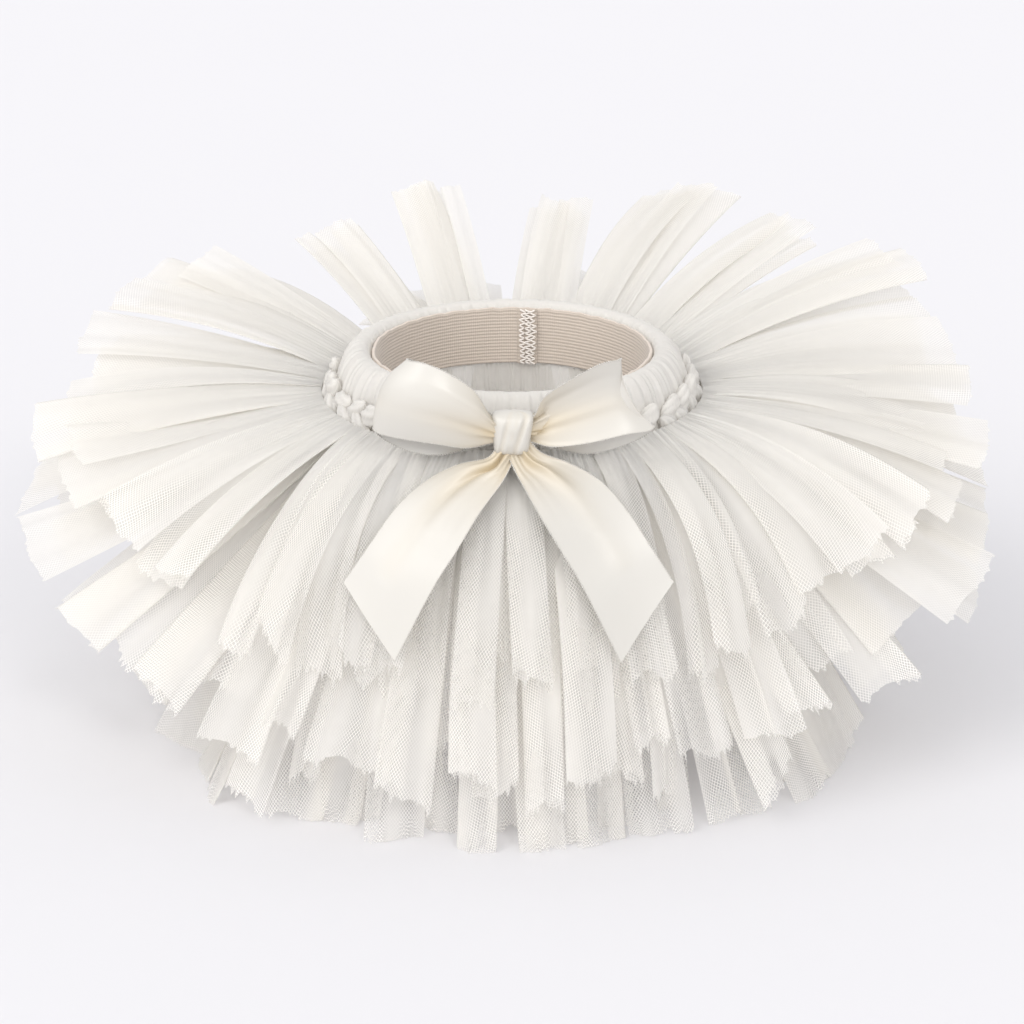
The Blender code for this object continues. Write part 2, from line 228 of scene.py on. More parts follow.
# Gathered cover: section from the inside of the elastic over the top and down outside,
# as (radius, height) in millimetres
COVER_SECTION = [
    (70.5, 126.0),
    (68.0, 136.0),
    (67.2, 147.0),
    (67.0, 158.0),
    (67.2, 170.0),
    (67.0, 184.0),
    (68.2, 190.6),
    (71.5, 192.6),
    (76.0, 191.2),
    (80.5, 185.0),
    (83.5, 175.0),
    (84.6, 166.0),
    (83.0, 156.0),
]

# Ribbon bow, in millimetres from the waist's axis. A loop runs from the knot out and back:
# x and z of its top edge, x and z of its bottom edge, and how far forward both lie
LOOPS = {
    "left": [
        (-7.0, 189.6, -7.0, 178.6, 99.5),
        (-10.2, 192.6, -10.2, 178.4, 101.5),
        (-16.8, 204.4, -20.5, 177.6, 105.0),
        (-27.8, 213.0, -33.9, 180.2, 107.0),
        (-37.9, 217.3, -48.6, 182.2, 106.0),
        (-45.0, 217.4, -59.5, 183.4, 102.0),
        (-46.6, 217.0, -62.1, 184.6, 98.0),
        (-44.0, 215.5, -58.0, 178.6, 95.4),
        (-35.5, 211.5, -46.0, 172.4, 95.0),
        (-25.0, 205.5, -31.0, 170.8, 95.0),
        (-10.2, 191.0, -10.2, 177.2, 95.4),
        (-7.0, 189.0, -7.0, 178.8, 95.6),
    ],
    "right": [
        (7.0, 189.6, 7.0, 179.0, 99.5),
        (10.2, 192.2, 10.2, 178.8, 101.5),
        (14.6, 201.6, 18.7, 178.0, 104.5),
        (28.2, 211.6, 33.8, 180.6, 107.0),
        (39.2, 217.3, 51.1, 184.4, 106.0),
        (46.8, 217.6, 61.0, 184.6, 102.0),
        (48.4, 217.2, 63.6, 185.4, 98.0),
        (45.6, 215.0, 59.5, 180.0, 95.4),
        (36.0, 210.0, 46.5, 174.0, 95.0),
        (25.0, 203.5, 31.0, 171.4, 95.0),
        (10.2, 191.0, 10.2, 177.4, 95.4),
        (7.0, 189.0, 7.0, 179.0, 95.6),
    ],
}

# A ribbon tail runs from the knot down: x and z of its outer edge, x and z of its inner
# edge, and how far it lifts off the skirt
RIBBON_TAILS = {
    "left": [
        (-6.5, 177.5, 1.0, 171.5, 1.2),
        (-11.5, 171.6, -3.0, 166.0, 1.6),
        (-25.0, 168.6, -6.3, 162.2, 1.0),
        (-38.7, 162.6, -14.7, 153.2, 0.4),
        (-51.6, 152.6, -24.9, 138.9, 0.0),
        (-64.0, 137.0, -35.0, 124.3, 0.0),
        (-75.3, 121.3, -52.0, 92.1, 0.0),
    ],
    "right": [
        (7.5, 180.5, -2.0, 173.5, 1.2),
        (13.5, 174.6, 2.0, 167.0, 2.0),
        (26.0, 169.6, 5.4, 162.6, 2.0),
        (40.0, 162.6, 11.5, 154.0, 1.0),
        (51.5, 151.4, 19.9, 142.2, 0.3),
        (61.2, 138.0, 31.8, 124.2, 0.0),
        (72.0, 121.9, 48.3, 91.8, 0.0),
    ],
}
RIBBON_CLEARANCE = 8.5 * MM

# Ribbon: pitch of its weave, its pleats where it is drawn together (crests across it and
# weight), and the pleats of the bow's knot (place, spread and depth, as shares)
WEFT_PITCH = 0.35 * MM
RIBBON_PLEATS = [(2.5, 1.0), (4.0, 0.6), (6.5, 0.3)]
KNOT_PLEATS = [(-0.4, 0.12, 0.16), (0.0, 0.08, 0.1), (0.4, 0.14, 0.2)]

# Stage: the floor's side, the camera's distance in front of the waist's axis and its
# height (m), and how far it looks down (degrees)
FLOOR_SIDE = 12.0
CAMERA_DISTANCE, CAMERA_HEIGHT, CAMERA_TILT = 1.427, 0.6509, 20.863

# Where the construction's front strip leaves the waist (mm)
FRONT_STRIP_ROOT = {"radius": 92.9, "height": 171.0}


class TutuTulleSettings(bpy.types.PropertyGroup):
    """Sizes and colours of the tulle."""

    colour: bpy.props.FloatVectorProperty(
        name="Tulle colour",
        description="Colour of the tulle's threads",
        default=(0.94, 0.929, 0.908, 1.0),
        **COLOUR,
    )
    cell: bpy.props.FloatProperty(
        name="Net cell",
        description="Width of one diamond of the net",
        default=1.5 * MM,
        min=0.5 * MM,
        max=6.0 * MM,
        unit="LENGTH",
    )
    haze: bpy.props.FloatProperty(
        name="Haze",
        description="How much of the light an open cell of the net stops at the least",
        default=0.34,
        **SHARE,
    )
    thread: bpy.props.FloatProperty(
        name="Thread cover",
        description="How much of the light the net's threads stop",
        default=0.88,
        **SHARE,
    )
    thread_width: bpy.props.FloatProperty(
        name="Thread width",
        description="Half width of the net's threads, as a share of a cell",
        default=0.23,
        min=0.02,
        max=0.5,
        subtype="FACTOR",
    )
    show_through: bpy.props.FloatProperty(
        name="Show through",
        description="Share of the light that a thread passes on to its far side",
        default=0.57,
        **SHARE,
    )
    gather_depth: bpy.props.FloatProperty(
        name="Gather depth",
        description="Depth of the fine gathers where a strip is knotted on",
        default=0.6 * MM,
        min=0.0,
        max=4.0 * MM,
        unit="LENGTH",
    )
    crease_depth: bpy.props.FloatProperty(
        name="Crease depth",
        description="Depth of the soft creases along a tail",
        default=0.4 * MM,
        min=0.0,
        max=3.0 * MM,
        unit="LENGTH",
    )
    fray: bpy.props.FloatProperty(
        name="Fray",
        description="Length of the loose threads and spikes at a cut end",
        default=2.2 * MM,
        min=0.0,
        max=8.0 * MM,
        unit="LENGTH",
    )


class TutuBandSettings(bpy.types.PropertyGroup):
    """Sizes and colours of the elastic waistband and its cover."""

    colour: bpy.props.FloatVectorProperty(
        name="Elastic colour",
        description="Colour of the elastic's knitted ribs",
        default=(0.555, 0.485, 0.42, 1.0),
        **COLOUR,
    )
    ribs: bpy.props.IntProperty(
        name="Ribs",
        description="Number of ribs across the elastic",
        default=17,
        min=1,
        max=60,
    )
    rib_depth: bpy.props.FloatProperty(
        name="Rib depth",
        description="How far a rib stands out",
        default=0.22 * MM,
        min=0.0,
        max=2.0 * MM,
        unit="LENGTH",
    )
    gathers: bpy.props.IntProperty(
        name="Gathers",
        description="Number of gathers round the tulle cover",
        default=96,
        min=3,
        max=400,
    )
    gather_depth: bpy.props.FloatProperty(
        name="Cover gather depth",
        description="Depth of the cover's gathers at its lower edge",
        default=1.3 * MM,
        min=0.0,
        max=5.0 * MM,
        unit="LENGTH",
    )
    knots: bpy.props.IntProperty(
        name="Knots",
        description="Number of knots round the waist",
        default=34,
        min=3,
        max=120,
    )


class TutuBowSettings(bpy.types.PropertyGroup):
    """Sizes and colours of the ribbon bow."""

    colour: bpy.props.FloatVectorProperty(
        name="Ribbon colour",
        description="Colour of the satin ribbon",
        default=(0.59, 0.571, 0.53, 1.0),
        **COLOUR,
    )
    # Painted shade: the satin takes this deeper, golden colour in its folds and where it is drawn
    # together
    crease_shade_colour: bpy.props.FloatVectorProperty(
        name="Ribbon crease colour",
        description="Deeper colour of the satin where it is drawn together",
        default=(0.57, 0.48, 0.335, 1.0),
        **COLOUR,
    )
    ribbon_width: bpy.props.FloatProperty(
        name="Ribbon width",
        description="Width of the ribbon before it is tied",
        default=38.0 * MM,
        min=5.0 * MM,
        max=100.0 * MM,
        unit="LENGTH",
    )
    picot_pitch: bpy.props.FloatProperty(
        name="Picot pitch",
        description="Distance between the little loops along the ribbon's edges",
        default=1.1 * MM,
        min=0.5 * MM,
        max=10.0 * MM,
        unit="LENGTH",
    )
    picot_size: bpy.props.FloatProperty(
        name="Picot size",
        description="Radius of a little loop along the ribbon's edges",
        default=0.4 * MM,
        min=0.1 * MM,
        max=2.0 * MM,
        unit="LENGTH",
    )


class TutuStageSettings(bpy.types.PropertyGroup):
    """Floor, light and camera."""

    floor_colour: bpy.props.FloatVectorProperty(
        name="Floor colour",
        description="Colour of the plain floor",
        default=(0.73, 0.725, 0.745, 1.0),
        **COLOUR,
    )
    surround: bpy.props.FloatProperty(
        name="Surround",
        description="Strength of the even light from all round",
        default=0.93,
        min=0.0,
        max=5.0,
    )
    key_strength: bpy.props.FloatProperty(
        name="Key light",
        description="Strength of the soft light from the upper left",
        default=0.92,
        min=0.0,
    )
    front_strength: bpy.props.FloatProperty(
        name="Front light",
        description="Strength of the very soft light from the front",
        default=0.92,
        min=0.0,
    )
    shine_strength: bpy.props.FloatProperty(
        name="Shine light",
        description="Strength of the small light from the front that the satin catches",
        default=0.5,
        min=0.0,
    )
    lens: bpy.props.FloatProperty(
        name="Lens",
        description="Focal length of the camera, in millimetres",
        default=110.7,
        min=10.0,
        max=400.0,
    )


def joined(*parts):
    """Points with these coordinates, each spread over the others' rows and columns."""
    return np.stack(np.broadcast_arrays(*parts), axis=-1)


def around(radius, azimuth, height):
    """Points at these radii, azimuths in radians from the front, and heights."""
    return joined(AXIS.x + radius * np.sin(azimuth), AXIS.y - radius * np.cos(azimuth), height)


def full_turn(count):
    """Angles of this many even steps round a circle."""
    return np.linspace(0, math.tau, count, endpoint=False)


def smooth_path(points, count):
    """This many points along a smooth curve through the points."""
    points = np.array(points, float)
    before = np.vstack([2 * points[0] - points[1], points[:-1]])
    after = np.vstack([points[1:], 2 * points[-1] - points[-2]])
    slopes = (after - before) / 2
    places = np.linspace(0, len(points) - 1, count)
    first = np.minimum(places.astype(int), len(points) - 2)
    t = (places - first)[:, None]
    return (
        (2 * t**3 - 3 * t**2 + 1) * points[first]
        + (t**3 - 2 * t**2 + t) * slopes[first]
        + (-2 * t**3 + 3 * t**2) * points[first + 1]
        + (t**3 - t**2) * slopes[first + 1]
    )


def run_lengths(points):
    """Distance along a line of points, from its first one."""
    steps = np.linalg.norm(np.diff(points, axis=0), axis=1)
    return np.concatenate([[0.0], np.cumsum(steps)])


def read_line(points, run, places):
    """Points at these distances along a line of points with these run lengths."""
    return joined(*(np.interp(places, run, values) for values in points.T))


def grid_faces(rows, columns, closed=False, looped=False):
    """Quads of a grid of points. A closed one joins its last column to its first, and a
    looped one its last row to its first."""
    row, column = np.meshgrid(
        np.arange(rows if looped else rows - 1),
        np.arange(columns if closed else columns - 1),
        indexing="ij",
    )
    beside, above = (column + 1) % columns, (row + 1) % rows
    corners = ((row, column), (row, beside), (above, beside), (above, column))
    return joined(*(line * columns + place for line, place in corners)).reshape(-1, 4)


def add_object(name, data):
    """An object of this data in the scene."""
    added = bpy.data.objects.new(name, data)
    bpy.context.scene.collection.objects.link(added)
    return added


class Sheet:
    """Grids of points that become one mesh, with the cloth's own coordinates."""

    def __init__(self):
        self.corners, self.faces, self.cloth, self.marks = [], [], [], []
        self.count = 0

    def add(self, points, cloth, mark=0.0, closed=False, looped=False):
        """Adds a grid: its points, its places in the flat cloth (m), and its mark."""
        rows, columns = points.shape[:2]
        self.corners.append(points.reshape(-1, 3))
        self.faces.append(grid_faces(rows, columns, closed, looped) + self.count)
        self.cloth.append(cloth.reshape(-1, 2))
        self.marks.append(np.broadcast_to(mark, (rows, columns)).reshape(-1))
        self.count += rows * columns

    def make(self, name, material, nodes=()):
        """The mesh object, riding on the garment's body in place of its nodes."""
        corners, faces = np.concatenate(self.corners), np.concatenate(self.faces)
        cloth, marks = np.concatenate(self.cloth), np.concatenate(self.marks)
        mesh = bpy.data.meshes.new(name)
        mesh.from_pydata(corners.tolist(), [], faces.tolist())
        used = np.empty(len(mesh.loops), int)
        mesh.loops.foreach_get("vertex_index", used)
        mesh.uv_layers.new(name="cloth").data.foreach_set("uv", cloth[used].ravel())
        mark = mesh.attributes.new("mark", "FLOAT", "POINT")
        mark.data.foreach_set("value", marks.astype(np.float32))
        mesh.materials.append(material)
        mesh.shade_smooth()
        piece = add_object(name, mesh)
        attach(piece, BODY)
        if nodes:
            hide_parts(*nodes)
        return piece


class Nodes:
    """Short ways to add and join a material's nodes."""

    def __init__(self, name):
        self.material = bpy.data.materials.new(name)
        self.material.use_nodes = True
        self.tree = self.material.node_tree
        self.tree.nodes.clear()

    def add(self, kind, **sockets):
        """A node of this kind with its sockets set, by name, to values or outputs."""
        node = self.tree.nodes.new(kind)
        for name, value in sockets.items():
            self.put(node.inputs[name.replace("_", " ")], value)
        return node

    def put(self, socket, value):
        """Sets a socket to a value, or joins an output to it."""
        if isinstance(value, bpy.types.NodeSocket):
            self.tree.links.new(value, socket)
        else:
            socket.default_value = value

    def numbered(self, kind, sockets, values, **choices):
        """A node of this kind with these choices, and its sockets set by their numbers."""
        node = self.tree.nodes.new(kind)
        for name, choice in choices.items():
            setattr(node, name, choice)
        for socket, value in zip(sockets, values):
            self.put(node.inputs[socket], value)
        return node

    def maths(self, operation, *values):
        """The result of a Math node."""
        return self.numbered("ShaderNodeMath", range(3), values, operation=operation).outputs[0]

    def blend(self, *values):
        """A value that goes with a share from a first value to a second."""
        return self.numbered("ShaderNodeMix", (0, 2, 3), values).outputs[0]

    def tint(self, *values):
        """A colour that goes with a share from a first colour to a second."""
        return self.numbered("ShaderNodeMix", (0, 6, 7), values, data_type="RGBA").outputs[2]

    def mixed(self, share, *shaders):
        """A shader that goes with the share from the first shader to the second."""
        outputs = [shader.outputs[0] for shader in shaders]
        return self.numbered("ShaderNodeMixShader", range(3), (share, *outputs))

    def cloth(self):
        """The place in the flat cloth, in metres."""
        return self.numbered("ShaderNodeUVMap", (), (), uv_map="cloth").outputs[0]

    def parts(self, place):
        """The distances across and along the cloth of a place in it."""
        return self.add("ShaderNodeSeparateXYZ", Vector=place).outputs[:2]

    def mark(self):
        """The mesh's own mark."""
        return self.numbered("ShaderNodeAttribute", (), (), attribute_name="mark").outputs["Fac"]

    def noise(self, vector, scale):
        """A soft irregular value from 0 to 1."""
        return self.add("ShaderNodeTexNoise", Vector=vector, Scale=scale).outputs["Fac"]

    def bumps(self, height, strength, distance):
        """A surface direction that follows a height."""
        bump = self.add("ShaderNodeBump", Strength=strength, Distance=distance, Height=height)
        return bump.outputs[0]

    def surface(self, colour, rough, normal, **levels):
        """A surface shader, with its other levels set on its own sockets."""
        shader = self.add(
            "ShaderNodeBsdfPrincipled", Base_Color=colour, Roughness=rough, Normal=normal
        )
        for name, level in levels.items():
            shader.inputs[name.replace("_", " ")].default_value = level
        return shader

    def finish(self, shader):
        """Joins the shader to the output and gives the material."""
        output = self.tree.nodes.new("ShaderNodeOutputMaterial")
        self.tree.links.new(shader.outputs[0], output.inputs["Surface"])
        return self.material


def scaled(colour, share):
    """The colour, lighter or darker by a share."""
    return tuple(min(1.0, value * share) for value in colour[:3]) + (1.0,)


def tulle_material(name, settings, layers=1):
    """Net of diamonds. The mark says how much haze covers an open cell, and it also darkens
    the colour there as painted shade. Many layers gathered together let less light
    through, and are painted darker and warmer as shade."""
    nodes = Nodes(name)
    haze_and_shade = nodes.mark()
    cells = nodes.numbered(
        "ShaderNodeVectorMath", (0, 3), (nodes.cloth(), 1 / settings.cell), operation="SCALE"
    )
    across, along = nodes.parts(cells.outputs[0])
    ways = []
    for slope in (NET_SLOPE, -NET_SLOPE):
        slanted = nodes.maths("MULTIPLY_ADD", along, slope, across)
        ways.append(nodes.maths("PINGPONG", slanted, 0.5))
    net = nodes.add(
        "ShaderNodeMapRange",
        Value=nodes.maths("MAXIMUM", *ways),
        From_Min=0.5 - settings.thread_width,
        From_Max=0.5 - settings.thread_width * 0.2,
    ).outputs[0]
    alpha = nodes.maths("MAXIMUM", haze_and_shade, nodes.maths("MULTIPLY", net, settings.thread))
    # Painted shade: the more haze the mark gives and the more layers are gathered, the darker and
    # warmer the net's colour
    clear, painted_shade = 1.02 - 0.2 * (layers - 1), 0.955 - 0.065 * (layers - 1)
    layer_shade_tint = [share ** (layers - 1) for share in LAYER_SHADE_TINT]
    base = [part * share for part, share in zip(settings.colour, layer_shade_tint)]
    colour = nodes.tint(haze_and_shade, scaled(base, clear), scaled(base, painted_shade))
    rough = nodes.blend(net, 0.85, 0.65)
    thread = nodes.surface(
        colour,
        rough,
        nodes.bumps(ways[0], 0.25, 0.15 * MM),
        Sheen_Weight=0.2,
        Sheen_Roughness=0.45,
        Specular_IOR_Level=0.3,
    )
    warmed = [part * share for part, share in zip(settings.colour, GLOW_TINT)]
    glow = nodes.add("ShaderNodeBsdfTranslucent", Color=(*warmed, 1.0))
    cloth = nodes.mixed(settings.show_through / layers, thread, glow)
    gap = nodes.add("ShaderNodeBsdfTransparent")
    return nodes.finish(nodes.mixed(alpha, gap, cloth))


def elastic_material(name, settings):
    """Knitted elastic: fine stitches along the ribs, with a painted highlight on their crests
    and painted shade in the grooves between them.
    """
    nodes = Nodes(name)
    flat = nodes.cloth()
    across, _ = nodes.parts(flat)
    stitch = nodes.maths("SINE", nodes.maths("MULTIPLY", across, math.tau / KNIT_PITCH))
    fuzz = nodes.noise(flat, 900.0)
    patch = nodes.noise(flat, 40.0)
    # Painted light and shade: rib crests and the top and outside rows are painted paler, the
    # grooves darker; the noise adds uneven tone
    light = nodes.maths("MULTIPLY", nodes.mark(), 0.65)
    for uneven in (fuzz, patch):
        light = nodes.maths("MULTIPLY_ADD", uneven, 0.2, light)
    colour = nodes.tint(light, scaled(settings.colour, 0.84), scaled(settings.colour, 1.2))
    height = nodes.maths("MULTIPLY_ADD", stitch, 0.3, fuzz)
    rough = nodes.blend(fuzz, 0.78, 0.95)
    normal = nodes.bumps(height, 0.35, 0.2 * MM)
    return nodes.finish(nodes.surface(colour, rough, normal, Sheen_Weight=0.3))


def satin_material(name, settings):
    """Satin ribbon: glossy, with fine weft lines across it, and painted shade in its folds."""
    nodes = Nodes(name)
    flat = nodes.cloth()
    _, along = nodes.parts(flat)
    weft = nodes.maths("SINE", nodes.maths("MULTIPLY", along, math.tau / WEFT_PITCH))
    slub = nodes.noise(flat, 220.0)
    soft = nodes.noise(flat, 30.0)
    height = nodes.maths("MULTIPLY_ADD", weft, 0.25, slub)
    colour = nodes.tint(soft, scaled(settings.colour, 0.97), scaled(settings.colour, 1.02))
    # Painted shade: deep in the folds and where the ribbon is drawn together, the mark turns the
    # satin towards the crease shade colour
    colour = nodes.tint(nodes.mark(), colour, settings.crease_shade_colour)
    satin = nodes.surface(
        colour,
        nodes.blend(slub, 0.3, 0.42),
        nodes.bumps(height, 0.1, 0.1 * MM),
        Specular_IOR_Level=0.75,
        Sheen_Weight=0.1,
        Anisotropic=0.5,
    )
    return nodes.finish(satin)


def thread_material(name, colour):
    """Spun thread, with a fine twist."""
    nodes = Nodes(name)
    twist = nodes.noise(nodes.cloth(), 1400.0)
    shade = nodes.tint(twist, scaled(colour, 0.9), scaled(colour, 1.06))
    rough = nodes.blend(twist, 0.5, 0.7)
    return nodes.finish(nodes.surface(shade, rough, nodes.bumps(twist, 0.3, 0.1 * MM)))


def gather_wave(place, count, rng):
    """Uneven gathers: a wave of about count crests over places from 0 to 1, closed."""
    wave = np.zeros_like(place)
    total = 0.0
    for share, weight in ((1.0, 1.0), (0.62, 0.7), (1.71, 0.45), (0.23, 0.5)):
        crests = max(1, round(count * share))
        wave += weight * np.sin(math.tau * (crests * place + rng.random()))
        total += weight
    return wave / total * 1.6


def build_waistband(settings):
    """The ribbed elastic ring, its lapped seam and the seam's zigzag stitching."""
    rng = np.random.default_rng(11)
    steps, rows_per_rib = 216, 6
    height = BAND_TOP - BAND_BOTTOM
    place = np.linspace(0, 1, settings.ribs * rows_per_rib + 1)[:, None]
    azimuth = full_turn(steps)
    crest = 0.5 - 0.5 * np.cos(math.tau * settings.ribs * place)
    wander = 0.25 * MM * gather_wave(azimuth / math.tau, 9, rng)
    scallop = 0.3 * MM * gather_wave(azimuth / math.tau, 44, rng)
    inner_radius = WAIST_OUTER - ELASTIC_THICK
    material = elastic_material("knitted_elastic", settings)
    sheet = Sheet()
    inside = inner_radius + settings.rib_depth * (1 - crest) + wander
    level = BAND_BOTTOM + place * height + place**6 * scallop
    cloth = joined(azimuth * inner_radius, place * height)
    edge_rows, outside_rows, half = 4, 7, 0.75 * MM
    turn = np.linspace(0, math.pi, edge_rows + 1)[1:, None]
    top_radius = inside[-1] + half * (1 - np.cos(turn))
    top_level = level[-1] + half * 0.5 * np.sin(turn)
    down = np.linspace(1, 0, outside_rows + 1)[1:, None]
    outside_level = down * (level[-1] - BAND_BOTTOM)
    radius = np.vstack([inside, top_radius, np.repeat(top_radius[-1:], outside_rows, axis=0)])
    level = np.vstack([level, top_level, outside_level + BAND_BOTTOM])
    added = edge_rows + outside_rows
    cloth = np.vstack([cloth, np.repeat(cloth[-1:], added, axis=0)])
    # The mark paints the elastic paler on its rib crests, top and outside, and darker in the
    # grooves: painted light and shade
    mark = np.vstack([crest, np.full((added, 1), 0.9)])
    sheet.add(around(radius, azimuth, level), cloth, mark, closed=True, looped=True)
    band = sheet.make("waistband_elastic", material, ["elastic_waistband"])
    build_lapped_seam(settings, material, inner_radius)


def tube(sheet, path, radius, sides=6):
    """Adds a round thread along a path to a sheet."""
    path = np.array(path)
    along = np.gradient(path, axis=0)
    along /= np.linalg.norm(along, axis=1)[:, None]
    aside = np.cross(along, np.array([0.31, 0.52, 0.79]))
    aside /= np.linalg.norm(aside, axis=1)[:, None]
    up = np.cross(along, aside)
    turn = full_turn(sides)
    ring = aside[:, None] * np.cos(turn)[:, None] + up[:, None] * np.sin(turn)[:, None]
    run = run_lengths(path)
    cloth = joined(run[:, None], turn * radius)
    size = np.full(len(path), radius)
    size[[0, -1]] = radius * 0.25
    sheet.add(path[:, None] + ring * size[:, None, None], cloth, closed=True)


def build_lapped_seam(settings, material, inner_radius):
    """The elastic's lapped end inside the back, and its zigzag stitches."""
    low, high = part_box("elastic_lapped_seam")
    middle = (low + high) / 2
    azimuth = math.atan2(middle.x - AXIS.x, AXIS.y - middle.y)
    half_width = 5.0 * MM
    radius = inner_radius - LAP_THICK
    across = np.linspace(-1, 1, 15)
    place = np.linspace(0, 1, settings.ribs * 5)[:, None]
    crest = 0.5 - 0.5 * np.cos(math.tau * settings.ribs * place)
    rim = np.clip((np.abs(across) - 0.82) / 0.18, 0, 1) ** 2
    depth = radius + rim * 0.9 * MM + settings.rib_depth * 0.8 * (1 - crest)
    level = BAND_BOTTOM + place * (BAND_TOP - BAND_BOTTOM + 0.4 * MM)
    turn = azimuth + across * half_width / radius
    cloth = joined(across * half_width, place * (BAND_TOP - BAND_BOTTOM))
    sheet = Sheet()
    # The mark paints the lap paler on its rib crests and darker between them: painted light and
    # shade
    sheet.add(around(depth, turn, level), cloth, crest * 0.8)
    lap = sheet.make("waistband_lap", material, ["elastic_lapped_seam"])
    stitches = Sheet()
    rng = np.random.default_rng(12)
    for column, swing, count in STITCH_ROWS:
        zigzag = []
        for step in range(count + 1):
            side = 1 if step % 2 else -1
            wobble = 0.07 * rng.normal()
            zigzag.append((column + swing * side + wobble, step / count, -0.5 * MM))
            zigzag.append((column + wobble, (step + 0.5) / count, -0.95 * MM))
        route = smooth_path(zigzag[:-1], len(zigzag) * 4)
        points = around(
            radius + route[:, 2],
            azimuth + route[:, 0] * half_width / radius,
            BAND_BOTTOM + route[:, 1] * (BAND_TOP - BAND_BOTTOM),
        )
        tube(stitches, points, STITCH_RADIUS)
    thread = thread_material("stitching_thread", STITCH_COLOUR)
    stitches.make("waistband_zigzag", thread)


def build_cover(settings, tulle):
    """The tulle gathered over the top and the outside of the elastic, drawn in between
    the knots at its lower edge."""
    rng = np.random.default_rng(21)
    steps, rows = 1152, 30
    hem_end, inside_end, outside_start = 0.33, 0.45, 0.53
    section = smooth_path(np.array(COVER_SECTION) * MM, rows)
    run = run_lengths(section)
    azimuth = full_turn(steps)
    place = azimuth / math.tau
    share = (run / run[-1])[:, None]
    outside = np.clip((share - outside_start) / 0.42, 0, 1)
    fine = settings.gather_depth * 0.42 * gather_wave(place, settings.gathers, rng)
    bend = 0.2 * gather_wave(place, 7, rng)
    lobes = np.abs(np.sin(math.pi * (settings.knots * place + bend)))
    drawn = (np.sqrt(lobes) - 0.75) * 2.6 * settings.gather_depth * outside**1.5
    hanging = np.clip((hem_end - share) / 0.15, 0, 1)
    ridge = fine * (0.6 + 0.7 * outside + 1.0 * hanging)
    radius = section[:, :1] + np.where(share < inside_end, np.abs(ridge), ridge) + drawn
    edge = 0.8 * MM * gather_wave(place, 57, rng) * share**4
    level = section[:, 1:] + edge + 0.3 * ridge
    slide = 0.016 * gather_wave(place, 23, rng) * outside
    cloth = joined(place * math.tau * COVER_CLOTH_RADIUS, run[:, None])
    sheet = Sheet()
    sheet.add(around(radius, azimuth + slide, level), cloth, 0.9, closed=True)
    # The cover is two gathered layers, so its net is painted darker and warmer as shade
    material = tulle_material("gathered_tulle", tulle, layers=2)
    piece = sheet.make("cover_gathered", material, ["tulle_gathered_roll"])


def build_knots(settings, tulle):
    """The ring of knots that hold the strips: pointed loops, plaited one over the next."""
    rng = np.random.default_rng(31)
    sheet = Sheet()
    low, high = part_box("tulle_knots")
    radius = (high.x - low.x) / 2 - 3.6 * MM
    level = (low.z + high.z) / 2
    rows, columns = 19, 26
    polar = np.linspace(0.04, math.pi - 0.04, rows)[:, None]
    turn = full_turn(columns)
    count = settings.knots * 2
    for number in range(count):
        upper = number % 2
        azimuth = math.tau * (number + 0.28 * rng.normal()) / count
        slant = math.radians(KNOT_SLANTS[upper] + 11 * rng.normal())
        long, tall, thick = ((size + uneven * rng.normal()) * MM for size, uneven in KNOT_SIZES)
        wrap = turn + 0.9 * polar + rng.random() * 6
        grooves = 0.13 * np.sin(5 * wrap) + 0.07 * np.sin(11 * wrap + rng.random() * 6)
        grooves = 1 + grooves * np.sin(polar) ** 0.5
        x = np.cos(polar) * long
        y = np.sin(polar) ** 1.15 * np.cos(turn) * tall * grooves
        out = np.sin(polar) ** 1.15 * np.sin(turn) * thick * grooves
        bend = 0.22 * (x / long) ** 2 * tall
        side = x * math.cos(slant) - (y + bend) * math.sin(slant)
        up = x * math.sin(slant) + (y + bend) * math.cos(slant)
        place = radius + out - side**2 / (2 * radius) - upper * 1.8 * MM
        points = around(place, azimuth + side / radius, level + up + (upper * 5.5 - 2.2) * MM)
        cloth = joined(turn * 4 * MM, polar * 6 * MM)
        sheet.add(points, cloth, np.clip(0.4 + 0.55 * grooves, 0, 1), closed=True)
    # The knots are two gathered layers, so their net is painted darker and warmer as shade
    material = tulle_material("knotted_tulle", tulle, layers=2)
    sheet.make("knots_plaited", material, ["tulle_knots"])


def tail_curve(tier, reach, tip_height, lift):
    """A tail's middle line as the strip's solid has it: a function that gives the radius
    and height, and the unit normal, at each t from 0 at the waist to 1 at the tip."""
    start = np.array([tier["radius"], tier["height"]]) * MM
    end = np.array([reach, tip_height]) * MM
    angle = math.radians(lift)
    reach_out = 0.5 * np.linalg.norm(end - start)
    bend = start + reach_out * np.array([math.cos(angle), math.sin(angle)])

    def at(t):
        t = np.asarray(t)[..., None]
        point = (1 - t) ** 2 * start + 2 * t * (1 - t) * bend + t * t * end
        along = (1 - t) * (bend - start) + t * (end - bend)
        along /= np.linalg.norm(along, axis=-1, keepdims=True)
        return point, joined(-along[..., 1], along[..., 0])

    return at


def envelope(name):
    """The tier's tips as a function of azimuth, which gives their reach and height (mm),
    their lift and the slope of their line (degrees)."""
    strips = {row[0] % 360: dict(zip(STRIP_COLUMNS, row)) for row in STRIPS[name]}
    places = sorted(strips)

    def read(azimuth, column):
        values = [strips[place][column] for place in places]
        return np.interp(azimuth % 360, places, values, period=360)

    def at(azimuth):
        reach, step = read(azimuth, "reach"), 6.0
        rise = read(azimuth + step, "tip_height") - read(azimuth - step, "tip_height")
        slope = math.degrees(math.atan2(rise, math.radians(2 * step) * reach))
        return reach, read(azimuth, "tip_height"), read(azimuth, "lift"), slope

    return at


